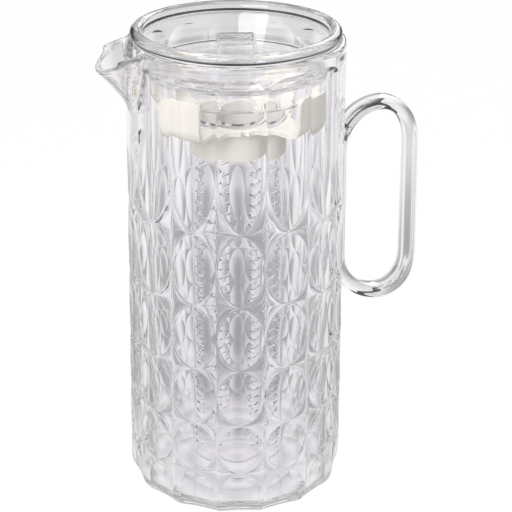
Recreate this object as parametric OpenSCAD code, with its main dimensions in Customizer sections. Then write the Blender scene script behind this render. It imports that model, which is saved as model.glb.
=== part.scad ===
// Infusion pitcher: clear cut-pattern jug with a bonded loop handle, a dish lid,
// a four-armed carrier that clips under the lid, and a slotted infuser tube.
// Units are millimetres, +Z is up, and the jug stands on z = 0 about the Z axis.
// The spout points to -X and the handle to +X.

/* [Jug] */
// Height from the table to the top of the rim
jug_height = 296; // [240:1:340]
// Outer radius over the ridges between the cuts
jug_r = 67.5; // [62:0.5:76]
// Wall thickness at the ridges
jug_wall = 5; // [4.4:0.1:7]
// Thickness of the floor
floor_t = 8; // [5:0.5:12]
// Rounding inside, between floor and wall
floor_round = 6; // [3:0.5:12]
// Rounding of the bottom edge
foot_round = 16; // [8:0.5:20]

/* [Cut pattern] */
// Columns of cuts round the wall
columns = 14; // [12:2:18]
// Plan radius of each hollow cut
cut_r = 150; // [110:5:260]
// Ridge left between neighbouring columns
ridge = 1.2; // [0.8:0.1:3]
// Plain band between the rim and the flutes
rim_band = 7; // [4:0.5:14]
// Length of the long flutes
flute_length = 97; // [70:1:120]
// Height of the round arch at the top of a flute
arch_height = 10; // [6:0.5:16]
// Height of the pointed lower end of a flute
point_height = 34; // [20:1:45]
// Height of the lowest tips above the table
foot_tip = 32.5; // [22:0.5:45]
// Height of each oval as a share of the one above
oval_ratio = 0.89; // [0.8:0.01:0.95]
// Rows of ovals above the foot's own cuts
oval_rows = 4; // [3:1:5]
// Height of the arch at the top of a foot cut
foot_arch = 15; // [10:0.5:20]
// Land left between two tips
tip_gap = 0.8; // [0.4:0.1:2]

/* [Spout] */
// Reach of the lip beyond the wall
spout_reach = 21.5; // [12:0.5:28]
// Drop of the lip below the rim
spout_drop = 13; // [4:0.5:16]
// Lean of the keel from the vertical
keel_lean = 42; // [32:1:50]
// Distance of the beak's root inside the face of the wall
beak_root = 13.5; // [9:0.5:18]
// Half angle of the beak
beak_angle = 22; // [16:1:26]
// Thickness of the beak
beak_wall = 3; // [2:0.1:4]

/* [Handle] */
// Reach of the handle beyond the wall
handle_reach = 52; // [44:1:70]
// Overall height of the handle loop
handle_height = 137; // [110:1:180]
// Drop of the top of the loop below the rim
handle_drop = 44; // [20:1:70]
// Thickness of the bar, measured outwards
handle_depth = 9; // [7:0.5:14]
// Width of the bar
handle_width = 15; // [11:0.5:24]
// Bend radius of the loop's outer corners, on the middle of the bar
corner_out = 20; // [12:0.5:22]
// Rounding of the bar's edges
handle_round = 4; // [2:0.1:4.4]
// Thickness of the leg that is bonded to the wall
bond_leg = 4; // [2:0.1:7]
// Film of adhesive between leg and wall
bond_gap = 0.1; // [0.05:0.01:0.3]

/* [Lid] */
// Inset of the lid's edge from the outside of the jug
lid_inset = 2.5; // [1:0.1:4]
// Radius of the bead's round section
bead_r = 4; // [3:0.1:5]
// Gap between the seated bead and the rim
seat_gap = 0.3; // [0.1:0.05:0.6]
// Inset of the well's floor from the inside of the skirt
well_inset = 5.2; // [3.5:0.1:9]
// Depth of the well's floor below the rim
well_depth = 19; // [14:0.5:24]
// Thickness of the lid
lid_wall = 2.4; // [1.8:0.1:3]
// Gap for pouring between the skirt and the inside of the jug
pour_gap = 7.3; // [6:0.1:10]
// Thickness of the skirt
skirt_wall = 2; // [1.5:0.1:3]
// Drop of the skirt below the rim
skirt_drop = 31; // [27:0.5:40]
// Size of the finger grip along the lid
grip_l = 24; // [18:0.5:34]
// Size of the finger grip across the lid
grip_w = 23; // [18:0.5:34]
// Thickness of the hollow grip
grip_wall = 2.2; // [1.6:0.1:3]
// Rounding of the grip's corners
grip_round = 3.4; // [2.4:0.1:6]
// Height of the snap bead round the end of the skirt
snap = 0.9; // [0.5:0.1:1.4]
// Turn of the lid from the spout line
lid_turn = -13; // [-45:1:45]

/* [Carrier] */
// Height of a tab's grip on the skirt
tab_grip = 5; // [3:0.5:9]
// Height of a tab from the arm's underside to its top
tab_height = 26; // [20:0.5:34]
// Width of a tab and its arm
tab_width = 28; // [18:0.5:32]
// Thickness of arms and tabs
tab_t = 2.5; // [2:0.1:3.2]
// Height of the lip inside a tab that hooks over the snap bead
lip_h = 1.8; // [1:0.1:2.5]
// Rounding of the tab's top corners
tab_round = 5; // [2:0.5:8]
// Inner radius of the bend from arm to tab
bend_r = 6; // [3:0.5:9]
// Side clearance between parts that slide
slide_gap = 0.3; // [0.2:0.05:0.6]
// Depth of the collar below the arms
collar_depth = 18; // [10:0.5:28]
// Thickness of the collar
collar_wall = 2.2; // [1.6:0.1:3]
// Radius of the concave corners between the arms
web_r = 9; // [4:0.5:12]
// Turn of the carrier from the diagonal
carrier_turn = -6; // [-45:1:45]

/* [Infuser tube] */
// Outer diameter of the tube
tube_d = 55; // [44:0.5:60]
// Thickness of the tube
tube_wall = 2; // [1.6:0.1:3]
// Gap between the tube and the floor of the jug
floor_gap = 6; // [4:0.5:60]
// Width of the flange that rests on the arms
flange_w = 3; // [2:0.1:4]
// Thickness of the flange
flange_t = 2.2; // [1.6:0.1:3]
// Rounding of the tube's lower edge
tube_round = 5; // [3:0.5:8]
// Columns of slots round the tube
slot_columns = 4; // [2:2:6]
// Width of a slot
slot_w = 11; // [6:0.5:14]
// Height of a slot
slot_h = 2; // [1.2:0.1:3]
// Spacing from slot to slot
slot_pitch = 8; // [5:0.5:12]
// Plain length above the first slot and below the last
slot_margin = 9; // [6:0.5:20]
// Turn of the slot columns from the diagonal
tube_turn = -19; // [-45:1:45]

/* [Hidden] */
$fn = 96;
// Facets of a full circle in the shallow cuts
cut_fn = 360;
// Overlap that keeps joined faces apart
eps = 0.01;

jug_inner_r = jug_r - jug_wall;
rim_round = jug_wall / 2;
column_step = 360 / columns;

// A hollow cut meets the wall half a ridge short of its column's edge
cut_edge = column_step / 2 - ridge / 2 / jug_r * 180 / PI;
cut_axis = jug_r * cos(cut_edge) + sqrt(pow(cut_r, 2) - pow(jug_r * sin(cut_edge), 2));
cut_depth = jug_r + cut_r - cut_axis;
cutter_edge = (cut_edge + column_step / 2) / 2;
cutter_sweep = 2 * asin(jug_r * sin(cutter_edge) / cut_r);
cutter_band = 2 * cut_depth;

// Heights of the tips between the rows, counted downwards from the flutes
flute_top = jug_height - rim_band;
flute_tip = flute_top - flute_length;
function row_share(row) = (1 - pow(oval_ratio, row)) / (1 - pow(oval_ratio, oval_rows));
function tip_z(row) = flute_tip - (flute_tip - foot_tip) * row_share(row);

// Radius of the arc that sinks a cut to its full depth over a given height
function sink_r(height) = (pow(height, 2) + pow(cut_depth, 2)) / 2 / cut_depth;

handle_top = jug_height - handle_drop;
handle_z = handle_top - handle_height;
handle_out = jug_r + handle_reach;
leg_out = jug_r + bond_leg;
corner_in = handle_out - leg_out - corner_out;
apex_r = leg_out - handle_depth / 2 + corner_in;
handle_mid = handle_z + handle_height / 2;

// The lip falls from the rim to the tip of the beak
lip_slope = atan(spout_drop / spout_reach);
beak_lean = keel_lean - beak_angle;
tip_height = jug_height - spout_drop;
beak_depth = (spout_reach + beak_root) / tan(keel_lean);
apex_x = jug_r - beak_root;
apex_z = tip_height - beak_depth;
beak_length = 2 * beak_depth;
beak_offset = beak_wall / sin(beak_angle);

// The bead rests on the rounded rim
lid_r = jug_r - lid_inset;
bead_mid = lid_r - bead_r;
rim_mid = jug_r - rim_round;
seat_reach = bead_r + rim_round + seat_gap;
bead_z = jug_height - rim_round + sqrt(pow(seat_reach, 2) - pow(rim_mid - bead_mid, 2));
well_z = jug_height - well_depth;
well_under = well_z - lid_wall;
well_top_r = bead_mid - bead_r / 2;
skirt_r = jug_inner_r - pour_gap;
skirt_in = skirt_r - skirt_wall;
skirt_z = jug_height - skirt_drop;
well_r = skirt_in - well_inset;
well_rise = (bead_z - well_z + lid_wall / 2) / (well_top_r - well_r);
function well_mid_z(r) = well_z - lid_wall / 2 + (r - well_r - lid_wall / 2) * well_rise;

tab_top = skirt_z + tab_grip;
arm_z = tab_top - tab_height;
arm_top = arm_z + tab_t;
tab_in = skirt_r + snap + slide_gap;
lip_z = skirt_z + 2 * snap + slide_gap;
tab_out = tab_in + tab_t;
collar_in = tube_d / 2 + slide_gap;
collar_out = collar_in + collar_wall;
collar_z = arm_z - collar_depth;
plate_r = collar_out + flange_w / 2;

flange_z = arm_top + slide_gap / 2;
flange_top = flange_z + flange_t;
tube_z = floor_t + floor_gap;
tube_in = tube_d / 2 - tube_wall;
slot_high = collar_z - slot_margin;
slot_low = tube_z + tube_round + slot_margin;
slot_count = floor((slot_high - slot_low) / slot_pitch) + 1;

clear_colour = [0.86, 0.86, 0.9, 0.5];
ivory_colour = [0.93, 0.91, 0.86];

// Rectangle with rounded corners about the origin
module round_rect(width, height, radius) {
    square([width - 2 * radius, height], center = true);
    square([width, height - 2 * radius], center = true);
    for (x = [-1, 1], y = [-1, 1])
        translate([x * (width / 2 - radius), y * (height / 2 - radius)])
            circle(radius);
}

// Half section of an oval cut: one arc sinks it from tip to tip
module oval_profile(low, high) {
    oval_r = sink_r((high - low) / 2);
    intersection() {
        translate([cut_r - oval_r, (low + high) / 2])
            circle(oval_r, $fn = cut_fn);
        translate([cut_r - cutter_band, low - tip_gap / 2])
            square([2 * cutter_band, high - low + tip_gap]);
    }
}

// Part of a cutter's section that an arc rising from the wall leaves out, above the origin
module sink_corner(height) {
    arc_r = sink_r(height);
    difference() {
        translate([-cutter_band, 0])
            square([cutter_band + eps, height + tip_gap]);
        translate([-arc_r, 0])
            circle(arc_r, $fn = cut_fn);
    }
}

// Half section of a flute, with an arched top and a pointed lower end
module flute_profile() {
    low = flute_tip + tip_gap / 2;
    difference() {
        translate([cut_r - cutter_band, low - tip_gap / 2])
            square([cutter_band, flute_top - low + tip_gap]);
        translate([cut_r, flute_top - arch_height])
            sink_corner(arch_height);
        translate([cut_r, low + point_height])
            mirror([0, 1])
                sink_corner(point_height);
    }
}

// Half section of a foot cut: it sinks along an arc from its tip and runs on round the foot
module foot_profile() {
    high = foot_tip - tip_gap / 2;
    difference() {
        translate([cut_r - cutter_band, -foot_round])
            square([cutter_band + foot_round, foot_round + high + tip_gap / 2]);
        translate([cut_r, high - foot_arch])
            sink_corner(foot_arch);
        translate([cut_r, foot_round])
            square([2 * foot_round, high]);
        translate([cut_r + foot_round, foot_round])
            circle(foot_round);
    }
}

// Sweeps a half section into a solid that hollows the wall of the column at a polar angle
module cutter(angle) {
    rotate([0, 0, angle])
        translate([cut_axis, 0, 0])
            rotate([0, 0, 180 - cutter_sweep / 2])
                rotate_extrude(angle = cutter_sweep, $fn = cut_fn)
                    children();
}

// The wall keeps its full thickness behind the bonded leg of the handle and under the spout
function under_handle(low, high) = low < handle_top && high > handle_z;

module cut_pattern() {
    for (column = [0 : columns - 1]) {
        angle = column * column_step;
        is_spout = column == columns / 2;
        is_handle = column == 0;
        if (!is_spout && !(is_handle && under_handle(flute_tip, flute_top)))
            cutter(angle)
                flute_profile();
        for (row = [0 : oval_rows - 1]) {
            low = tip_z(row + 1) + tip_gap / 2;
            high = tip_z(row) - tip_gap / 2;
            if (!(is_handle && under_handle(low, high)))
                cutter(angle)
                    oval_profile(low, high);
        }
        cutter(angle)
            foot_profile();
    }
}

// Half section of the jug's blank, with a rounded foot and rim
module jug_profile() {
    difference() {
        union() {
            square([jug_r - foot_round, foot_round]);
            translate([jug_r - foot_round, foot_round])
                circle(foot_round);
            translate([0, foot_round])
                square([jug_r, jug_height - rim_round - foot_round]);
            translate([rim_mid, jug_height - rim_round])
                circle(rim_round);
        }
        translate([-foot_round, 0])
            square([foot_round, jug_height]);
        translate([0, floor_t])
            square([jug_inner_r - floor_round, floor_round]);
        translate([jug_inner_r - floor_round, floor_t + floor_round])
            circle(floor_round);
        translate([0, floor_t + floor_round])
            square([jug_inner_r, jug_height]);
    }
}

// Cone of the beak, moved up its own axis by a given distance
module beak_cone(lift) {
    translate([apex_x, 0, apex_z])
        rotate([0, beak_lean, 0])
            translate([0, 0, lift])
                cylinder(h = beak_length, r1 = 0, r2 = beak_length * tan(beak_angle));
}

// Space above the lip, which slopes down towards the tip
module above_lip() {
    translate([jug_r, 0, jug_height])
        rotate([0, lip_slope, 0])
            translate([-beak_length, -beak_length, 0])
                cube([3 * beak_length, 2 * beak_length, beak_length]);
    translate([0, -beak_length, jug_height - rim_round])
        cube([jug_r + spout_reach, 2 * beak_length, beak_length]);
}

module beak() {
    difference() {
        beak_cone(0);
        beak_cone(beak_offset);
        above_lip();
        cylinder(h = jug_height, r = jug_inner_r);
    }
}

module pitcher_body() {
    color(clear_colour)
        union() {
            difference() {
                rotate_extrude()
                    jug_profile();
                cut_pattern();
                rotate([0, 0, 180])
                    beak_cone(beak_offset);
            }
            rotate([0, 0, 180])
                beak();
        }
}

module handle_section() {
    round_rect(handle_depth, handle_width, handle_round);
}

// Quarter of the loop above its middle: a straight leg, then a bend inwards to the apex
module handle_quarter(bend) {
    rise = (handle_height - handle_depth) / 2 - bend;
    translate([bend, 0, 0])
        linear_extrude(rise)
            handle_section();
    translate([0, 0, rise])
        rotate([90, 0, 0])
            rotate_extrude(angle = 90)
                translate([bend, 0])
                    handle_section();
}

module handle_loop() {
    for (flip = [0, 1])
        mirror([0, 0, flip]) {
            handle_quarter(corner_out);
            mirror([1, 0, 0])
                handle_quarter(corner_in);
        }
}

module handle() {
    color(clear_colour)
        difference() {
            translate([apex_r, 0, handle_mid])
                handle_loop();
            cylinder(h = jug_height, r = jug_r + bond_gap);
        }
}

// Half section of the lid: bead, sloping well, floor and skirt
module lid_profile() {
    translate([bead_mid, bead_z])
        circle(bead_r);
    polygon([
        [well_r, well_z],
        [well_top_r, bead_z],
        [well_top_r + lid_wall, bead_z],
        [well_r + lid_wall, well_under],
        [well_r, well_under]
    ]);
    translate([0, well_under])
        square([well_r + eps, lid_wall]);
    polygon([
        [skirt_in, skirt_z],
        [skirt_r, skirt_z],
        [skirt_r, well_mid_z(skirt_r)],
        [skirt_in, well_mid_z(skirt_in)]
    ]);
    translate([skirt_r, skirt_z + snap])
        circle(snap);
}

module lid() {
    color(clear_colour)
        rotate([0, 0, lid_turn])
            difference() {
                union() {
                    rotate_extrude()
                        lid_profile();
                    translate([0, 0, well_under])
                        linear_extrude(jug_height - well_under)
                            round_rect(grip_l, grip_w, grip_round);
                }
                translate([0, 0, well_under - eps])
                    linear_extrude(jug_height - grip_wall - well_under + eps)
                        round_rect(grip_l - 2 * grip_wall, grip_w - 2 * grip_wall, grip_round - grip_wall);
            }
}

// Half section of an arm, its bend and its tab
module arm_profile() {
    translate([collar_out - collar_wall / 2, arm_z])
        square([tab_in - bend_r - collar_out + collar_wall / 2, tab_t]);
    intersection() {
        translate([tab_in - bend_r, arm_z + tab_t + bend_r])
            difference() {
                circle(bend_r + tab_t);
                circle(bend_r);
            }
        translate([tab_in - bend_r, arm_z])
            square(bend_r + tab_t);
    }
    translate([tab_in, arm_z + tab_t + bend_r])
        square([tab_t, tab_height]);
    translate([tab_in - snap, lip_z])
        square([snap + eps, lip_h]);
}

// Upright outline of one tab, seen from outside
module tab_outline() {
    translate([0, arm_z])
        round_rect(tab_width, 2 * tab_height, tab_round);
}

// One arm with its tab, along +X
module arm() {
    intersection() {
        rotate_extrude()
            arm_profile();
        rotate([90, 0, 90])
            linear_extrude(2 * tab_out)
                tab_outline();
    }
}

// Plate with concave corners that run out into the arms
module plate_outline() {
    corner = tab_width / 2 + web_r;
    reach = sqrt(pow(plate_r, 2) - pow(tab_width / 2, 2)) + web_r;
    circle(plate_r);
    difference() {
        square([2 * reach, 2 * corner], center = true);
        for (x = [-1, 1], y = [-1, 1])
            translate([x * reach, y * corner])
                circle(web_r);
    }
    difference() {
        square([2 * corner, 2 * reach], center = true);
        for (x = [-1, 1], y = [-1, 1])
            translate([x * corner, y * reach])
                circle(web_r);
    }
}

module infuser_carrier() {
    color(ivory_colour)
        rotate([0, 0, carrier_turn])
            difference() {
                union() {
                    for (quarter = [0 : 3])
                        rotate([0, 0, 45 + 90 * quarter])
                            arm();
                    translate([0, 0, arm_z])
                        rotate([0, 0, 45])
                            linear_extrude(tab_t)
                                plate_outline();
                    translate([0, 0, collar_z])
                        cylinder(h = arm_top - collar_z, r = collar_out);
                }
                translate([0, 0, collar_z - eps])
                    cylinder(h = arm_top - collar_z + 2 * eps, r = collar_in);
            }
}

// Half section of the tube with its flange and rounded closed end
module tube_profile() {
    outer = tube_d / 2;
    difference() {
        union() {
            square([outer - tube_round, tube_round]);
            translate([outer - tube_round, tube_round])
                circle(tube_round);
            translate([0, tube_round])
                square([outer, flange_top - tube_z - tube_round]);
            translate([0, flange_z - tube_z])
                square([outer + flange_w, flange_t]);
        }
        translate([-tube_round, 0])
            square([tube_round, tube_round * 2]);
        translate([0, tube_round])
            square([tube_in, flange_top - tube_z]);
        intersection() {
            translate([0, tube_wall])
                square([tube_in, tube_round]);
            union() {
                translate([outer - tube_round, tube_round])
                    circle(tube_round - tube_wall);
                translate([0, tube_wall])
                    square([outer - tube_round, tube_round]);
            }
        }
    }
}

// Round-ended slot cut straight through both sides of the tube
module slot() {
    rotate([90, 0, 90])
        linear_extrude(tube_d + 2 * eps, center = true) {
            square([slot_w - slot_h, slot_h], center = true);
            for (side = [-1, 1])
                translate([side * (slot_w - slot_h) / 2, 0])
                    circle(slot_h / 2);
        }
}

module infuser_tube() {
    color(clear_colour)
        rotate([0, 0, tube_turn])
            difference() {
                translate([0, 0, tube_z])
                    rotate_extrude()
                        tube_profile();
                for (column = [0 : slot_columns / 2 - 1], row = [0 : slot_count - 1])
                    translate([0, 0, slot_high - row * slot_pitch])
                        rotate([0, 0, 45 + column * 360 / slot_columns])
                            slot();
            }
}

pitcher_body();
handle();
lid();
infuser_carrier();
infuser_tube();
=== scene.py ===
"""Looks of the infusion pitcher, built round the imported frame.

Lengths are in millimetres until a mesh is made. The handle points to +X and the spout to -X. The carrier and the tube
are the CAD nodes with materials.
"""

import math

import bmesh
import bpy
import numpy as np
from mathutils import Euler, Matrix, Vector


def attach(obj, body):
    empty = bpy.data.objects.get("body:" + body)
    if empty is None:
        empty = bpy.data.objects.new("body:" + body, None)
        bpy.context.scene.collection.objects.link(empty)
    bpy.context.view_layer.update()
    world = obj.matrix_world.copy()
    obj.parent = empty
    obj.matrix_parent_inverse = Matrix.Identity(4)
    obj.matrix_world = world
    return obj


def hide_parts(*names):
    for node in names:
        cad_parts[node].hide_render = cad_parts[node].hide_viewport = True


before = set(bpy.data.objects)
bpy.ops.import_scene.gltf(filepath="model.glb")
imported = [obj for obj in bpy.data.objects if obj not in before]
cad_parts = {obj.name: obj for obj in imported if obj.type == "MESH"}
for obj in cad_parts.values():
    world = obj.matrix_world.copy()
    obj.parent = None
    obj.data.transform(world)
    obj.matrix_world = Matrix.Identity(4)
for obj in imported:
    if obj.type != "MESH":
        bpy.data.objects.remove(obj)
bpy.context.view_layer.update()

MM = 0.001
TURN = 2 * math.pi

# Jug, as in the part's source
JUG_H, JUG_R, JUG_IN = 296.0, 67.5, 62.5
FLOOR_T, FLOOR_ROUND, FOOT_ROUND = 8.0, 6.0, 16.0
RIM_ROUND = 2.5
# Heights of the plain band's lines between the flutes and the rounded rim
BAND_LINES = (290.8, 292.3)
# Shares of the radius at which the floor and the underside have their rings
FLOOR_RINGS = (0.8, 0.5, 0.2, 0.0)
BASE_RINGS = (1.0, 0.75, 0.45, 0.15, 0.0)

# Cut pattern: 14 columns, each with a flute, four ovals and a foot cut
COLUMNS = 14
HALF_COL = math.pi / COLUMNS
COL_W = HALF_COL * JUG_R
CUT_DEPTH = 2.26
FLUTE_TOP, FLUTE_MID, FLUTE_TIP, FOOT_TIP = 289.0, 240.0, 192.0, 32.5
OVAL_ROWS, OVAL_RATIO = 4, 0.89
ARCH_H, POINT_H = 10.0, 34.0
# How round each end is: 2 is an ellipse, and less is more pointed
ARCH_POWER, POINT_POWER, OVAL_POWER = 2.0, 1.65, 1.8
# Share of a column that a cut spans, and the land left at each tip
SIDE_REACH, TIP_LAND = 0.972, 0.4
# Depth of the lands where four cells meet, and where the sinking starts along a cell's side and along its end
LAND_SINK, SINK_SIDE, SINK_END = 1.9, 0.2, 0.05
SINK_POWER = 1.3
# Grid of a quarter cell: points on its end, side segments of a flute and an oval, and rings inside and outside a cut
END_POINTS, TOP_SEG, FLUTE_SEG, OVAL_SEG = 80, 12, 18, 9
CORNER_SHARE = 0.66
IN_RINGS = (0, 0.22, 0.44, 0.63, 0.78, 0.89, 0.96, 1.0)
OUT_RINGS = (0.12, 0.35, 0.65, 1.0)
# Heights over which the cuts fade out under the spout
SPOUT_FADE = (215, 250)
# Row of ovals over which the cuts fade out under the handle's leg, and how far below its tip they start and end
HANDLE_ROW, HANDLE_FADE = 2, (8, 0.1)

# Spout: a leaning cone joined softly to the wall
SPOUT = math.pi
APEX_X, APEX_Z = 54.0, 244.13
BEAK_LEAN, BEAK_ANGLE, BEAK_WALL = math.radians(20), math.radians(22), 3.0
SPOUT_Z, SPOUT_LEAD, SPOUT_COS = 235.0, 15.0, 0.75
SOFT_OUT, SOFT_IN = 7.0, 5.0
# Fall of the lip for each millimetre past the wall, the softness of its start, and the cosine at which it starts
LIP_FALL, LIP_START, LIP_SOFT, LIP_COS, LIP_DEPTH = 0.605, 0.6, 3.0, 0.8, 1.0
# Search for the wall along a ray: start, share of the distance taken, and steps
RAY_START, RAY_SHARE, RAY_STEPS = 104.0, 0.8, 260
LIP_SHARE, LIP_STEPS = 0.3, 40

# Handle: the outer bends are taller than wide
HANDLE_LOW, HANDLE_HIGH = 115.0, 252.0
HANDLE_DEPTH, HANDLE_WIDTH, HANDLE_POWER = 9.0, 15.0, 2.9
LEG_MID = 67.0
CORNER_OUT, CORNER_IN = 20.0, 28.0
BEND_TOP, BEND_LOW = 26.0, 24.0
BEND_POINTS, PATH_POINTS, SECTION_POINTS, SOFT_POINTS = 30, 220, 40, 15
BOND_SINK = 0.05

# Lid
LID_SEG, LID_TURN = 288, math.radians(-13)
BEAD_MID, BEAD_R, BEAD_Z = 61.0, 4.0, 298.98
BEAD_FROM, BEAD_TO, BEAD_POINTS = 212, -104, 46
WELL_R, WELL_Z, WELL_TOP, LID_WALL = 48.0, 277.0, 59.0, 2.4
WELL_BEND, UNDER_BEND = 1.2, 1.6
WELL_RINGS, WELL_START = (30.0, 37.0, 43.0), 24.0
WELL_SHARES = (0.35, 0.7, 1.0)
SLOPE_SHARES = (0.3, 0.45, 0.6, 0.75, 0.85)
SKIRT_R, SKIRT_IN, SKIRT_Z, SNAP = 55.2, 53.2, 265.0, 0.9
SKIRT_ROUND, SKIRT_FILLET, SKIRT_DROP = 0.6, 0.35, 0.8
SKIRT_LINES, SKIRT_IN_LINES = (281.0, 276.0, 271.0), (269.0, 274.0)
UNDER_RINGS, UNDER_IN_RINGS = (59.0, 58.0, 57.0, 56.2), (52.2, 51.4)
GRIP_L, GRIP_W, GRIP_ROUND, GRIP_WALL = 24.0, 23.0, 2.6, 2.2
GRIP_EDGE, GRIP_FILLET, GRIP_SOFT, GRIP_DISH = 1.2, 0.7, 0.5, 0.4
GRIP_LINES, HOLLOW_LINES = (291.0, 286.0, 281.0), (280.0, 286.0, 291.0)
LEAST_ROUND, LEAST_HOLLOW_ROUND = 0.4, 0.8

# Clear plastic: tint, index of refraction and strength of the flow marks
CLEAR = {
    "clear_jug": ((0.973, 0.963, 0.978), 1.52, 0.008),
    "clear_handle": ((0.977, 0.971, 0.982), 1.52, 0.03),
    "clear_lid": ((0.99, 0.987, 0.993), 1.5, 0.005),
    "clear_tube": ((0.985, 0.982, 0.99), 1.4, 0.03),
}
CLEAR_SHADOW = (0.985, 0.983, 0.99, 1)
CLEAR_ROUGH, CLEAR_CLOUD = (0.0, 0.012), (0.35, 0.75)
CLEAR_CLOUD_SCALE, CLEAR_FLOW_SCALE, CLEAR_FLOW_DEPTH = 38.0, 55.0, 0.0004

# Ivory plastic
IVORY_TONES = [(0.0, (0.80, 0.779, 0.71)), (1.0, (0.85, 0.833, 0.768))]
IVORY_ROUGH, IVORY_IOR = (0.16, 0.28), 1.5
IVORY_CLOUD_SCALE, IVORY_GRAIN_SCALE, IVORY_GRAIN, IVORY_GRAIN_DEPTH = 45.0, 420.0, 0.05, 0.0002
IVORY_GLOW, IVORY_GLOW_SHARE = (0.86, 0.83, 0.76, 1), 0.25

# Studio, as the clear plastic sees it: a pale glowing floor with painted shade in soft sectors, painted shade and
# painted rings of light round the object, and soft boxes over a dark horizon.
ROOM_LIGHT, ROOM_COLOUR = 0.4, (0.98, 0.98, 1.0, 1)
WHITE = (1, 1, 1, 1)
FLOOR_PAINT, FLOOR_SPAN, FLOOR_DROP = (0.74, 0.74, 0.75, 1), 4.0, 0.0004
# Share of the floor's own light, over its paint, for the camera and for bent rays
FLOOR_SHARE = 0.95
# Level of the floor's glow by distance from the object's middle, over FLOOR_REACH metres: painted shade near the
# object crossed by painted rings of light, brightening to full light further out
FLOOR_REACH = 2.0
FLOOR_LIGHT = [(0.0, 0.62), (0.008, 0.90), (0.016, 0.62), (0.024, 0.90), (0.032, 0.66), (0.042, 0.90), (0.055, 0.74),
               (0.08, 0.86), (0.16, 0.86), (0.24, 0.94), (0.32, 1.0), (1.0, 1.0)]
# Painted shade in sectors of the floor: how many go round, and how much darker their middles are by distance
SECTORS = 8
SECTOR_SHADE = [(0.0, 0.0), (0.035, 0.16), (0.09, 0.62), (0.22, 0.60), (0.34, 0.30), (1.0, 0.26)]
# Level of the room by the sine of the height above the horizon
ROOM_HEIGHT = [(0.0, 0.02), (0.24, 0.03), (0.34, 1.0), (0.45, 0.9), (0.70, 0.8), (0.85, 0.6), (1.0, 0.5)]
# Gain of the room by share of a turn: 0.5 is straight behind the object, 0 and 1 are on the camera's side
ROOM_TURN = [(0.0, 0.7), (0.06, 0.9), (0.10, 2.2), (0.15, 2.2), (0.20, 0.9), (0.5, 1.0), (0.80, 0.9), (0.85, 1.6),
             (0.89, 1.6), (0.94, 0.9), (1.0, 0.7)]
# Lamps: place and size in metres, and watts
LAMP_AIM = (0, 0, 0.2)
LAMPS = {
    "key": ((-0.95, -1.1, 1.1), (1.0, 1.2), 23),
    "fill": ((0.9, 1.2, 1.0), (0.8, 1.0), 7),
    "top": ((-0.2, 0.1, 1.6), (1.0, 1.0), 17),
}

# Camera, fitted to the photograph: metres, angles, and pixels of a 512-pixel frame
CAM_AZ, CAM_PITCH, CAM_ROLL = math.radians(-15.9), math.radians(21.60), math.radians(0.13)
CAM_DIST, CAM_H = 1.274, 0.657
FRAME_PX, FOCAL_PX, CENTRE_PX, SENSOR = 512, 2164, 235.56, 36.0


def material_slot(obj, mat):
    obj.data.materials.clear()
    obj.data.materials.append(mat)


def new_object(name, verts_mm, faces, weld=2e-6):
    mesh = bpy.data.meshes.new(name)
    mesh.from_pydata((np.asarray(verts_mm) * MM).tolist(), [], faces)
    bm = bmesh.new()
    bm.from_mesh(mesh)
    bmesh.ops.remove_doubles(bm, verts=bm.verts, dist=weld)
    bmesh.ops.dissolve_degenerate(bm, edges=bm.edges, dist=1e-7)
    bmesh.ops.recalc_face_normals(bm, faces=bm.faces)
    bm.to_mesh(mesh)
    bm.free()
    for polygon in mesh.polygons:
        polygon.use_smooth = True
    obj = bpy.data.objects.new(name, mesh)
    bpy.context.scene.collection.objects.link(obj)
    return obj


class Patches:
    """Collects grids of points and their quads."""

    def __init__(self):
        self.points, self.faces, self.count = [], [], 0

    def grid(self, pts, wrap=False):
        rows, cols, width = pts.shape
        base = self.count
        self.points.append(pts.reshape(-1, width))
        self.count += rows * cols
        for i in range(rows - 1):
            for j in range(cols if wrap else cols - 1):
                a, b = base + i * cols + j, base + i * cols + (j + 1) % cols
                self.faces.append((a, b, b + cols, a + cols))

    def all(self):
        return np.concatenate(self.points), self.faces


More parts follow.
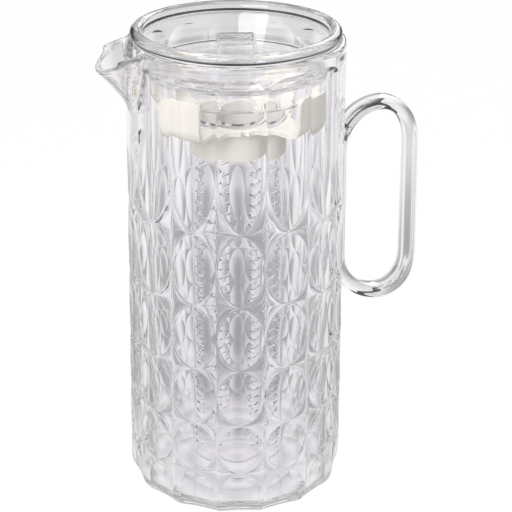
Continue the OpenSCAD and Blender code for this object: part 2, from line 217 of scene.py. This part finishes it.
class Graph:
    """Short words for making shader nodes."""

    def __init__(self, tree):
        self.tree = tree
        tree.nodes.clear()

    def node(self, kind, values=None, **settings):
        made = self.tree.nodes.new("ShaderNode" + kind)
        for key, value in settings.items():
            setattr(made, key, value)
        for key, value in (values or {}).items():
            made.inputs[key].default_value = value
        return made

    def wire(self, source, target):
        self.tree.links.new(source, target)

    def math(self, operation, a, b):
        made = self.node("Math", operation=operation)
        for k, value in enumerate((a, b)):
            if isinstance(value, (int, float)):
                made.inputs[k].default_value = value
            else:
                self.wire(value, made.inputs[k])
        return made.outputs[0]

    def span(self, value, limits, levels, curve="LINEAR"):
        ends = {"From Min": limits[0], "From Max": limits[1], "To Min": levels[0], "To Max": levels[1]}
        made = self.node("MapRange", ends, interpolation_type=curve)
        self.wire(value, made.inputs["Value"])
        return made.outputs["Result"]

    def noise(self, vector, scale, detail):
        made = self.node("TexNoise", {"Scale": scale, "Detail": detail})
        self.wire(vector, made.inputs["Vector"])
        return made.outputs["Fac"]

    def bump(self, height, strength, distance):
        made = self.node("Bump", {"Strength": strength, "Distance": distance})
        self.wire(height, made.inputs["Height"])
        return made.outputs["Normal"]

    def ramp(self, value, stops, curve="EASE"):
        """Grey levels or colours at stops along a value."""
        made = self.node("ValToRGB")
        ramp = made.color_ramp
        ramp.interpolation = curve
        while len(ramp.elements) < len(stops):
            ramp.elements.new(0.5)
        for element, (at, level) in zip(ramp.elements, stops):
            element.position = at
            element.color = (*level, 1) if isinstance(level, tuple) else (level, level, level, 1)
        self.wire(value, made.inputs["Fac"])
        return made.outputs["Color"]

    def mix(self, share, first, second):
        made = self.node("MixShader")
        if isinstance(share, float):
            made.inputs["Fac"].default_value = share
        else:
            self.wire(share, made.inputs["Fac"])
        self.wire(first, made.inputs[1])
        self.wire(second, made.inputs[2])
        return made.outputs["Shader"]

    def axes(self, vector):
        """X, Y and Z of a vector, turned so that Y points away from the photograph's camera."""
        turned = self.node("VectorRotate", {"Angle": -CAM_AZ}, rotation_type="Z_AXIS")
        self.wire(vector, turned.inputs["Vector"])
        made = self.node("SeparateXYZ")
        self.wire(turned.outputs["Vector"], made.inputs["Vector"])
        return made

    def turn(self, axes):
        """Share of a turn round the upright axis."""
        angle = self.math("ARCTAN2", axes.outputs["X"], axes.outputs["Y"])
        return self.math("ADD", self.math("DIVIDE", angle, TURN), 0.5)

    def bent(self, path):
        """1 for rays that clear plastic bends or mirrors, unless they light the ivory."""
        either = self.math("MAXIMUM", path.outputs["Is Glossy Ray"], path.outputs["Is Transmission Ray"])
        return self.math("MULTIPLY", either, self.math("LESS_THAN", path.outputs["Diffuse Depth"], 0.5))


def resample(line, count):
    line = np.asarray(line, float)
    step = np.hypot(*np.diff(line, axis=0).T)
    at = np.concatenate([[0], np.cumsum(step)])
    want = np.linspace(0, at[-1], count + 1)
    return np.stack([np.interp(want, at, line[:, k]) for k in range(line.shape[1])], 1)


def smooth(a, b, x):
    t = np.clip((x - a) / (b - a), 0, 1)
    return t * t * (3 - 2 * t)


def smin(a, b, k):
    """Smaller of two distances, rounded where they are within k."""
    h = np.maximum(k - np.abs(a - b), 0) / k
    return np.minimum(a, b) - h * h * k / 4


def bezier(a, corner, b, count):
    """Points of a curve from a to b that turns at a corner."""
    return [(1 - s) ** 2 * a + 2 * s * (1 - s) * corner + s * s * b for s in np.linspace(0, 1, count)]


def ring(radius, ang, z):
    return np.stack([radius * np.cos(ang), radius * np.sin(ang), np.broadcast_to(z, ang.shape)], 1)


def tip_z(row):
    """Height of the tips above a row of ovals."""
    share = (1 - OVAL_RATIO**row) / (1 - OVAL_RATIO**OVAL_ROWS)
    return FLUTE_TIP - (FLUTE_TIP - FOOT_TIP) * share


def rounded(t, power):
    """Half width of a cut's end, t from 0 at the tip to 1."""
    return np.maximum(1 - (1 - t) ** power, 0) ** (1 / power)


def quarter(height, end_len, power, side_seg):
    """Outline, spine and border of a quarter cell, in mm from the middle of the cell: x across, y up."""
    reach = SIDE_REACH * COL_W
    side_len = height - TIP_LAND - end_len
    t = np.linspace(1, 0, END_POINTS)
    line = np.stack([rounded(t, power) * reach, height - TIP_LAND - t * end_len], 1)
    if side_len > 0:
        line = np.concatenate([[[reach, 0.0]], line])
    off = np.where(line[:, 1] < height - end_len, np.inf, np.abs(line[:, 0] - CORNER_SHARE * reach))
    split = int(np.argmin(off))
    lower, upper = resample(line[: split + 1], side_seg), resample(line[split:], TOP_SEG)
    outline = np.concatenate([lower, upper[1:]])
    side = np.stack([np.full(side_seg + 1, COL_W), np.linspace(0, height, side_seg + 1)], 1)
    top = np.stack([np.linspace(COL_W, 0, TOP_SEG + 1), np.full(TOP_SEG + 1, height)], 1)
    border = np.concatenate([side, top[1:]])
    spine = np.stack([np.zeros(len(outline)), np.minimum(outline[:, 1], side_len)], 1)
    return outline, spine, border


def rings_of(cell, land):
    """Rings of (x, y, depth) from the spine over the outline to the border. The land sinks towards the corner."""
    outline, spine, border = cell
    rings = []
    for share in IN_RINGS:
        p = spine + share * (outline - spine)
        rings.append(np.column_stack([p, np.full(len(p), CUT_DEPTH * (1 - share * share))]))
    height = border[-1, 1]
    side = border[:, 1] < height - 1e-6
    along = np.where(side, border[:, 1] / height, border[:, 0] / COL_W)
    start = np.where(side, SINK_SIDE, SINK_END)
    sunk = land * np.clip((along - start) / (1 - start), 0, 1)
    for share in OUT_RINGS:
        p = outline + share * (border - outline)
        rings.append(np.column_stack([p, (1 - (1 - share) ** SINK_POWER) * sunk]))
    return np.stack(rings)


def oval_rings(half):
    return rings_of(quarter(half, half - TIP_LAND, OVAL_POWER, OVAL_SEG), LAND_SINK)


def place(rings, column, z0, flip_x, flip_y, fade=None):
    """Nominal (angle, height, depth) of a quarter cell in a column."""
    x = rings[..., 0] * (-1 if flip_x else 1)
    z = z0 + rings[..., 1] * (-1 if flip_y else 1)
    keep = 1.0 if fade is None else np.maximum(fade(z), smooth(0.9, 1.0, np.abs(x) / COL_W))
    return np.stack([column * 2 * HALF_COL + x / COL_W * HALF_COL, z, rings[..., 2] * keep], -1)


def spout_fade(z):
    return 1 - smooth(*SPOUT_FADE, z)


def handle_fade(z):
    start, end = (tip_z(HANDLE_ROW) - drop for drop in HANDLE_FADE)
    return 1 - smooth(start, end, z)


RIM_SEG = COLUMNS * 2 * TOP_SEG
rim_angle = np.arange(RIM_SEG) * 2 * math.pi / RIM_SEG - HALF_COL


def outer_wall():
    """Nominal (angle, height, depth) of the outer wall's points, and its faces."""
    up = rings_of(quarter(FLUTE_TOP - FLUTE_MID, ARCH_H, ARCH_POWER, FLUTE_SEG), 0.0)
    down = rings_of(quarter(FLUTE_MID - FLUTE_TIP, POINT_H, POINT_POWER, FLUTE_SEG), LAND_SINK)
    tips = [tip_z(row) for row in range(OVAL_ROWS + 1)]
    ovals = [((high + low) / 2, oval_rings((high - low) / 2)) for high, low in zip(tips, tips[1:])]
    foot = oval_rings(FOOT_TIP - FOOT_ROUND)
    # Strip from the middle of the foot cut down round the foot's edge
    drop = np.linspace(0, FOOT_ROUND, 11)
    strip = np.repeat(foot[None, :, 0, :], len(drop), 0)
    strip[..., 1] -= drop[:, None]
    wall = Patches()
    for col in range(COLUMNS):
        oval_fade = handle_fade if col == 0 else None
        flute_fade = spout_fade if col == COLUMNS // 2 else oval_fade
        for flip in (False, True):
            wall.grid(place(up, col, FLUTE_MID, flip, False, flute_fade))
            wall.grid(place(down, col, FLUTE_MID, flip, True, flute_fade))
        for middle, oval in ovals:
            for flip in (False, True):
                wall.grid(place(oval, col, middle, flip, False, oval_fade))
                wall.grid(place(oval, col, middle, flip, True, oval_fade))
        for flip in (False, True):
            wall.grid(place(foot, col, FOOT_ROUND, flip, False))
            wall.grid(place(strip, col, FOOT_ROUND, flip, False))
    ang, z = np.meshgrid(rim_angle, (FLUTE_TOP, *BAND_LINES, JUG_H - RIM_ROUND))
    wall.grid(np.stack([ang, z, np.zeros_like(z)], -1), wrap=True)
    return wall.all()


def beak_distance(r, ang, z):
    """Signed distance from the beak's outer cone, negative inside."""
    x, y = -r * np.cos(ang), r * np.sin(ang)
    vx, vz = x - APEX_X, z - APEX_Z
    t = vx * math.sin(BEAK_LEAN) + vz * math.cos(BEAK_LEAN)
    px, pz = vx - t * math.sin(BEAK_LEAN), vz - t * math.cos(BEAK_LEAN)
    rho = np.sqrt(px * px + pz * pz + y * y)
    return rho * math.cos(BEAK_ANGLE) - t * math.sin(BEAK_ANGLE)


def reach_of(ang, z, wall, offset, soft):
    """Radius of the wall joined softly to the beak, seen along each ray from the axis."""
    r = np.array(np.broadcast_to(wall, ang.shape), float)
    near = (np.cos(ang - SPOUT) > SPOUT_COS) & (z > SPOUT_Z - SPOUT_LEAD)
    if not near.any():
        return r
    a, h, w = ang[near], z[near], r[near]
    q = np.full(a.shape, RAY_START)
    for _ in range(RAY_STEPS):
        q = q - RAY_SHARE * smin(q - w, beak_distance(q, a, h) + offset, soft)
    r[near] = q
    return r


def outer_radius(ang, z, depth=0.0):
    return reach_of(ang, z, JUG_R - depth, 0.0, SOFT_OUT)


def inner_radius(ang, z):
    return reach_of(ang, z, JUG_IN, BEAK_WALL, SOFT_IN)


def lip_heights():
    """Height of the rim's top at each rim angle: the lip falls as it reaches past the wall."""
    top = np.full(RIM_SEG, JUG_H)
    for _ in range(LIP_STEPS):
        middle = (outer_radius(rim_angle, top - LIP_DEPTH) + inner_radius(rim_angle, top - LIP_DEPTH)) / 2
        past = middle * -np.cos(rim_angle) - (JUG_R + JUG_IN) / 2 - LIP_START
        want = JUG_H - LIP_FALL * (past + np.sqrt(past * past + LIP_SOFT)) / 2
        want[np.cos(rim_angle - SPOUT) < LIP_COS] = JUG_H
        top += LIP_SHARE * (want - top)
    return top


rim_top = lip_heights()


def top_at(ang):
    turn = (ang + HALF_COL) % (2 * math.pi)
    at = np.concatenate([rim_angle + HALF_COL, [2 * math.pi]])
    return np.interp(turn, at, np.concatenate([rim_top, rim_top[:1]]))


def warp(ang, zn):
    """Real height of a nominal one: the lip falls towards the spout."""
    return np.where(zn > SPOUT_Z, SPOUT_Z + (zn - SPOUT_Z) * (top_at(ang) - SPOUT_Z) / (JUG_H - SPOUT_Z), zn)


def outer_point(nominal):
    ang, zn, depth = nominal.T
    z = warp(ang, zn)
    r = outer_radius(ang, z, depth)
    turn = np.clip((FOOT_ROUND - zn) / FOOT_ROUND, 0, 1) * math.pi / 2
    foot = zn < FOOT_ROUND
    r = np.where(foot, JUG_R - FOOT_ROUND - depth + FOOT_ROUND * np.cos(turn), r)
    z = np.where(foot, FOOT_ROUND - FOOT_ROUND * np.sin(turn), z)
    return ring(r, ang, z)


def build_jug():
    nominal, faces = outer_wall()
    pts = outer_point(nominal)
    mesh = Patches()
    mesh.points, mesh.faces, mesh.count = [pts], faces, len(pts)
    ang = rim_angle
    # Rounded rim from the outer to the inner wall
    z_edge = warp(ang, np.full(RIM_SEG, JUG_H - RIM_ROUND))
    r_out, r_in = outer_radius(ang, z_edge), inner_radius(ang, z_edge)
    rows = []
    for phi in np.linspace(0, math.pi, 13):
        r = (r_out + r_in) / 2 + (r_out - r_in) / 2 * math.cos(phi)
        rows.append(ring(r, ang, z_edge + (top_at(ang) - z_edge) * math.sin(phi)))
    # Inner wall, floor rounding and floor
    above = np.linspace(JUG_H - RIM_ROUND, SPOUT_Z, 30)
    below = np.linspace(SPOUT_Z, FLOOR_T + FLOOR_ROUND, 12)
    for height in np.concatenate([above[1:], below[1:]]):
        z = warp(ang, np.full(RIM_SEG, height))
        rows.append(ring(inner_radius(ang, z), ang, z))
    for phi in np.linspace(0, math.pi / 2, 9)[1:]:
        r = JUG_IN - FLOOR_ROUND + FLOOR_ROUND * math.cos(phi)
        rows.append(ring(r, ang, FLOOR_T + FLOOR_ROUND - FLOOR_ROUND * math.sin(phi)))
    for share in FLOOR_RINGS:
        rows.append(ring((JUG_IN - FLOOR_ROUND) * share, ang, FLOOR_T))
    mesh.grid(np.stack(rows), wrap=True)
    # Underside: from the foot's edge to the centre
    low = np.unique(np.round(nominal[np.abs(nominal[:, 1]) < 1e-6], 9), axis=0)
    low = low[np.argsort(low[:, 0])]
    low = low[np.concatenate([[True], np.diff(low[:, 0]) > 1e-7])]
    if abs(low[-1, 0] - low[0, 0] - 2 * math.pi) < 1e-6:
        low = low[:-1]
    edge = outer_point(low)
    mesh.grid(np.stack([edge * np.array([share, share, 1.0]) for share in BASE_RINGS]), wrap=True)
    return new_object("pitcher_body_clear", *mesh.all())


def handle_path():
    """Middle of the bar as evenly spaced (x, z) points round the loop."""
    apex = LEG_MID + CORNER_IN
    top, low = HANDLE_HIGH - HANDLE_DEPTH / 2, HANDLE_LOW + HANDLE_DEPTH / 2
    bends = [(CORNER_OUT, BEND_TOP, top - BEND_TOP), (CORNER_IN, CORNER_IN, top - CORNER_IN),
             (CORNER_IN, CORNER_IN, low + CORNER_IN), (CORNER_OUT, BEND_LOW, low + BEND_LOW)]
    pts = []
    for k, (across, up, middle) in enumerate(bends):
        for a in np.linspace(k * math.pi / 2, (k + 1) * math.pi / 2, BEND_POINTS):
            pts.append((apex + across * math.cos(a), middle + up * math.sin(a)))
    pts.append(pts[0])
    return resample(pts, PATH_POINTS)[:-1]


def build_handle():
    # A short running mean softens the change from bend to straight
    path = handle_path()
    kernel = np.hanning(SOFT_POINTS)
    kernel /= kernel.sum()
    ends = SOFT_POINTS // 2
    looped = np.concatenate([path[-ends:], path, path[:ends]])
    soft = np.stack([np.convolve(looped[:, k], kernel, "valid") for k in (0, 1)], 1)
    tangent = np.roll(soft, -1, 0) - np.roll(soft, 1, 0)
    tangent /= np.hypot(*tangent.T)[:, None]
    normal = np.stack([tangent[:, 1], -tangent[:, 0]], 1)
    rows = []
    power = 2 / HANDLE_POWER
    for a in np.linspace(0, 2 * math.pi, SECTION_POINTS, endpoint=False):
        u = HANDLE_DEPTH / 2 * math.copysign(abs(math.cos(a)) ** power, math.cos(a))
        v = HANDLE_WIDTH / 2 * math.copysign(abs(math.sin(a)) ** power, math.sin(a))
        p = soft + normal * u
        rows.append(np.stack([p[:, 0], np.full(len(p), v), p[:, 1]], 1))
    bar = Patches()
    bar.grid(np.stack(rows + rows[:1]), wrap=True)
    pts, faces = bar.all()
    # The inner leg is shaped to the jug's wall
    bond = JUG_R - BOND_SINK
    r = np.hypot(pts[:, 0], pts[:, 1])
    pts[:, :2] *= np.where(r < bond, bond / np.maximum(r, 1e-6), 1.0)[:, None]
    return new_object("handle_clear", pts, faces)


def rect_reach(ang, half_x, half_y, rounding):
    """Distance from the centre to a rounded rectangle's edge, along each angle."""
    c, s = np.abs(np.cos(ang)), np.abs(np.sin(ang))
    lo, hi = np.zeros_like(ang), np.full_like(ang, 60.0)
    for _ in range(40):
        mid = (lo + hi) / 2
        qx, qy = mid * c - (half_x - rounding), mid * s - (half_y - rounding)
        d = np.hypot(np.maximum(qx, 0), np.maximum(qy, 0)) + np.minimum(np.maximum(qx, qy), 0) - rounding
        lo, hi = np.where(d < 0, mid, lo), np.where(d < 0, hi, mid)
    return lo


def build_lid():
    """Rings from the middle of the grip's top, over the well, the bead and the skirt, to the inside of the grip."""
    ang = np.arange(LID_SEG) * 2 * math.pi / LID_SEG
    rows = []

    def add(radius, z):
        rows.append(ring(np.broadcast_to(radius, ang.shape), ang + LID_TURN, z))

    def block(inset):
        return rect_reach(ang, GRIP_L / 2 - inset, GRIP_W / 2 - inset, max(GRIP_ROUND - inset, LEAST_ROUND))

    def hollow(inset):
        inset += GRIP_WALL
        return rect_reach(ang, GRIP_L / 2 - inset, GRIP_W / 2 - inset, max(GRIP_ROUND - inset, LEAST_HOLLOW_ROUND))

    # Grip
    add(0.0, JUG_H - GRIP_DISH)
    add(0.5 * block(2.0), JUG_H - 0.3)
    for a in np.linspace(0, math.pi / 2, 8):
        add(block(GRIP_EDGE * (1 - math.sin(a))), JUG_H - GRIP_EDGE * (1 - math.cos(a)))
    for z in GRIP_LINES:
        add(block(0.0), z)
    for a in np.linspace(0, math.pi / 2, 7):
        add(block(-GRIP_FILLET * (1 - math.cos(a))), WELL_Z + GRIP_FILLET * (1 - math.sin(a)))
    # Floor of the well, and its sloping side
    inner = block(-GRIP_FILLET)
    for t in WELL_SHARES:
        add(inner * (1 - t) + WELL_START * t, WELL_Z)
    for r in WELL_RINGS:
        add(r, WELL_Z)
    foot, head = np.array([WELL_R, WELL_Z]), np.array([WELL_TOP, BEAD_Z])
    lean = (head - foot) / np.hypot(*(head - foot))
    for p in bezier(foot - np.array([WELL_BEND, 0]), foot, foot + WELL_BEND * lean, 9):
        add(*p)
    for t in SLOPE_SHARES:
        add(*(foot + t * (head - foot)))
    for a in np.radians(np.linspace(BEAD_FROM, BEAD_TO, BEAD_POINTS)):
        add(BEAD_MID + BEAD_R * math.cos(a), BEAD_Z + BEAD_R * math.sin(a))
    # Underside of the slope, and the skirt
    under, over = np.array([WELL_R + LID_WALL, WELL_Z - LID_WALL]), np.array([WELL_TOP + LID_WALL, BEAD_Z])

    def outside(r):
        return under[1] + (r - under[0]) / (over[0] - under[0]) * (over[1] - under[1])

    for r in UNDER_RINGS:
        add(r, outside(r))
    add(SKIRT_R + SKIRT_FILLET, outside(SKIRT_R) + 0.1)
    for z in (outside(SKIRT_R) - SKIRT_DROP, *SKIRT_LINES, SKIRT_Z + 2 * SNAP + 0.2):
        add(SKIRT_R, z)
    for a in np.linspace(math.pi / 2, -math.pi / 2, 9):
        add(SKIRT_R + SNAP * math.cos(a), SKIRT_Z + SNAP + SNAP * math.sin(a))
    for a in np.linspace(-math.pi / 2, -math.pi, 5):
        add(SKIRT_IN + SKIRT_ROUND + SKIRT_ROUND * math.cos(a), SKIRT_Z + SKIRT_ROUND + SKIRT_ROUND * math.sin(a))
    for z in (*SKIRT_IN_LINES, outside(SKIRT_IN) - SKIRT_DROP):
        add(SKIRT_IN, z)
    add(SKIRT_IN - SKIRT_FILLET, outside(SKIRT_IN) - 0.6)
    for r in UNDER_IN_RINGS:
        add(r, outside(r))
    # Underside of the well, and the inside of the grip
    low_lean = (over - under) / np.hypot(*(over - under))
    for p in bezier(under + UNDER_BEND * low_lean, under, under - np.array([UNDER_BEND, 0]), 7):
        add(*p)
    for r in (*reversed(WELL_RINGS), WELL_START):
        add(r, WELL_Z - LID_WALL)
    start = hollow(-GRIP_SOFT)
    for t in WELL_SHARES:
        add(WELL_START * (1 - t) + start * t, WELL_Z - LID_WALL)
    for a in np.linspace(0, math.pi / 2, 5)[1:]:
        add(hollow(-GRIP_SOFT * (1 - math.sin(a))), WELL_Z - LID_WALL + GRIP_SOFT * (1 - math.cos(a)))
    for z in HOLLOW_LINES:
        add(hollow(0.0), z)
    for a in np.linspace(0, math.pi / 2, 5):
        add(hollow(GRIP_SOFT * (1 - math.cos(a))), JUG_H - GRIP_WALL - GRIP_SOFT + GRIP_SOFT * math.sin(a))
    add(0.5 * hollow(GRIP_SOFT), JUG_H - GRIP_WALL)
    add(0.0, JUG_H - GRIP_WALL)
    mesh = Patches()
    mesh.grid(np.stack(rows), wrap=True)
    return new_object("lid_clear", *mesh.all())


def new_material(name):
    mat = bpy.data.materials.new(name)
    mat.use_nodes = True
    return mat, Graph(mat.node_tree)


def clear_plastic(name):
    tint, ior, flow = CLEAR[name]
    mat, g = new_material(name)
    shader = g.node("BsdfPrincipled", {"Base Color": (*tint, 1), "IOR": ior, "Transmission Weight": 1.0})
    where = g.node("TexCoord").outputs["Object"]
    cloud = g.noise(where, CLEAR_CLOUD_SCALE, 3.0)
    g.wire(g.span(cloud, CLEAR_CLOUD, CLEAR_ROUGH), shader.inputs["Roughness"])
    marks = g.noise(where, CLEAR_FLOW_SCALE, 1.0)
    g.wire(g.bump(marks, flow, CLEAR_FLOW_DEPTH), shader.inputs["Normal"])
    # Shadow rays pass straight through
    shade = g.node("BsdfTransparent", {"Color": CLEAR_SHADOW})
    path = g.node("LightPath")
    shown = g.mix(path.outputs["Is Shadow Ray"], shader.outputs["BSDF"], shade.outputs["BSDF"])
    g.wire(shown, g.node("OutputMaterial").inputs["Surface"])
    return mat


def ivory_plastic(name):
    mat, g = new_material(name)
    shader = g.node("BsdfPrincipled", {"IOR": IVORY_IOR})
    where = g.node("TexCoord").outputs["Object"]
    cloud = g.noise(where, IVORY_CLOUD_SCALE, 4.0)
    g.wire(g.ramp(cloud, IVORY_TONES, "LINEAR"), shader.inputs["Base Color"])
    g.wire(g.span(cloud, (0.0, 1.0), IVORY_ROUGH), shader.inputs["Roughness"])
    grain = g.noise(where, IVORY_GRAIN_SCALE, 2.0)
    g.wire(g.bump(grain, IVORY_GRAIN, IVORY_GRAIN_DEPTH), shader.inputs["Normal"])
    glow = g.node("BsdfTranslucent", {"Color": IVORY_GLOW})
    shown = g.mix(IVORY_GLOW_SHARE, shader.outputs["BSDF"], glow.outputs["BSDF"])
    g.wire(shown, g.node("OutputMaterial").inputs["Surface"])
    return mat


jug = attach(build_jug(), "pitcher")
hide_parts("pitcher_body")
material_slot(jug, clear_plastic("clear_jug"))

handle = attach(build_handle(), "pitcher")
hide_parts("handle")
material_slot(handle, clear_plastic("clear_handle"))

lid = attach(build_lid(), "lid")
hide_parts("lid")
material_slot(lid, clear_plastic("clear_lid"))

material_slot(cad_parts["infuser_carrier"], ivory_plastic("ivory_carrier"))
material_slot(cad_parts["infuser_tube"], clear_plastic("clear_tube"))

scene = bpy.context.scene
scene.view_settings.view_transform = "Standard"
# Clear walls in a row need many bounces
scene.cycles.max_bounces = 40
scene.cycles.transmission_bounces = 40
scene.cycles.glossy_bounces = 24
scene.cycles.transparent_max_bounces = 32


def floor_material():
    """Pale paint, white to the camera, with a glow that only bent rays see: painted shade in soft sectors, and
    painted shade crossed by painted rings of light round the object.
    """
    mat, g = new_material("pale_floor")
    paint = g.node("BsdfDiffuse", {"Color": FLOOR_PAINT})
    glow = g.node("Emission")
    painted_pool = g.node("Emission")
    where = g.node("NewGeometry").outputs["Position"]
    distance = g.node("VectorMath", operation="LENGTH")
    g.wire(where, distance.inputs[0])
    away = g.math("DIVIDE", distance.outputs["Value"], FLOOR_REACH)
    # The glow is a painted pool of light: painted shade near the object crossed by painted rings of light, full light
    # further out
    g.wire(g.ramp(away, FLOOR_LIGHT), painted_pool.inputs["Color"])
    # Painted shade in soft sectors round the object, darker in their middles
    wave = g.math("COSINE", g.math("MULTIPLY", g.turn(g.axes(where)), TURN * SECTORS), 0.0)
    dark = g.math("MULTIPLY", g.span(wave, (-1.0, 1.0), (0.0, 1.0), "SMOOTHSTEP"), g.ramp(away, SECTOR_SHADE))
    g.wire(g.math("SUBTRACT", 1.0, dark), painted_pool.inputs["Strength"])
    path = g.node("LightPath")
    bent = g.math("MULTIPLY", g.bent(path), FLOOR_SHARE)
    seen = g.math("MULTIPLY", path.outputs["Is Camera Ray"], FLOOR_SHARE)
    lit = g.mix(bent, paint.outputs["BSDF"], painted_pool.outputs["Emission"])
    shown = g.mix(seen, lit, glow.outputs["Emission"])
    g.wire(shown, g.node("OutputMaterial").inputs["Surface"])
    return mat


floor_mesh = bpy.data.meshes.new("floor")
corners = [(x * FLOOR_SPAN, y * FLOOR_SPAN, 0) for x, y in ((-1, -1), (1, -1), (1, 1), (-1, 1))]
floor_mesh.from_pydata(corners, [], [(0, 1, 2, 3)])
floor_mesh.materials.append(floor_material())
floor = bpy.data.objects.new("floor", floor_mesh)
floor.location.z = -FLOOR_DROP
scene.collection.objects.link(floor)


def studio_world():
    """Soft even light, white to the camera, with a dark horizon and soft boxes that only bent rays see."""
    world = bpy.data.worlds.new("studio")
    world.use_nodes = True
    g = Graph(world.node_tree)
    soft = g.node("Background", {"Color": ROOM_COLOUR, "Strength": ROOM_LIGHT})
    white = g.node("Background", {"Color": WHITE, "Strength": 1.0})
    room = g.node("Background")
    axes = g.axes(g.node("TexCoord").outputs["Generated"])
    g.wire(g.ramp(axes.outputs["Z"], ROOM_HEIGHT), room.inputs["Color"])
    g.wire(g.ramp(g.turn(axes), ROOM_TURN), room.inputs["Strength"])
    path = g.node("LightPath")
    around = g.mix(g.bent(path), soft.outputs["Background"], room.outputs["Background"])
    shown = g.mix(path.outputs["Is Camera Ray"], around, white.outputs["Background"])
    g.wire(shown, g.node("OutputWorld").inputs["Surface"])
    return world


scene.world = studio_world()

for name, (at, size, watts) in LAMPS.items():
    lamp = bpy.data.lights.new(name, "AREA")
    lamp.shape = "RECTANGLE"
    lamp.size, lamp.size_y = size
    lamp.energy = watts
    obj = bpy.data.objects.new(name, lamp)
    obj.location = at
    obj.rotation_euler = (Vector(LAMP_AIM) - Vector(at)).to_track_quat("-Z", "Y").to_euler()
    # The ivory behind the clear walls would otherwise get each lamp's light twice
    obj.visible_transmission = False
    scene.collection.objects.link(obj)

cam_data = bpy.data.cameras.new("camera")
cam_data.sensor_width = SENSOR
cam_data.lens = SENSOR * FOCAL_PX / FRAME_PX
cam_data.shift_x = (FRAME_PX / 2 - CENTRE_PX) / FRAME_PX
cam = bpy.data.objects.new("camera", cam_data)
cam.location = (math.sin(CAM_AZ) * CAM_DIST, -math.cos(CAM_AZ) * CAM_DIST, CAM_H)
cam.rotation_euler = Euler((math.pi / 2 - CAM_PITCH, 0, CAM_AZ))
cam.rotation_euler.rotate_axis("Z", CAM_ROLL)
scene.collection.objects.link(cam)
scene.camera = cam
